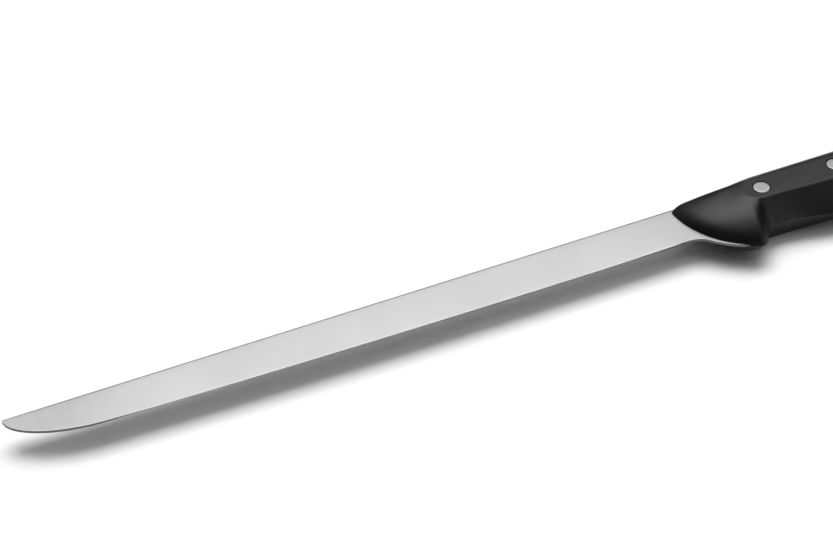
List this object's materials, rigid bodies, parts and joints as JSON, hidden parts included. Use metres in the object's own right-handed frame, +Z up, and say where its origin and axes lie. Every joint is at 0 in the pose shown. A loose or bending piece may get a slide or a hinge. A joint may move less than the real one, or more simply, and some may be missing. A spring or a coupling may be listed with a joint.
{
  "type": "ham knife",
  "caption": "Long narrow slicing knife with a flexible steel blade, a finger guard at the heel and a riveted black plastic handle.",
  "frame": {"origin": "under the middle of the knife's box, on the surface that the lower scale's flat rests on", "axes": "+X from the tip to the butt, +Y from the cutting edge to the spine, +Z up, out of the upper scale's flat"},
  "size_m": [0.3982, 0.034, 0.022],
  "materials": {
    "blade_steel": "satin, ground across the blade",
    "scale_plastic": "moulded, fine matte",
    "rivet_metal": "satin, ground flush with the scales"
  },
  "bodies": {
    "root": {"blade": "blade_steel", "upper_scale": "scale_plastic", "lower_scale": "scale_plastic", "front_rivet_barrel": "rivet_metal", "front_rivet_pin": "rivet_metal", "middle_rivet_barrel": "rivet_metal", "middle_rivet_pin": "rivet_metal", "rear_rivet_barrel": "rivet_metal", "rear_rivet_pin": "rivet_metal"}
  },
  "joints": []
}
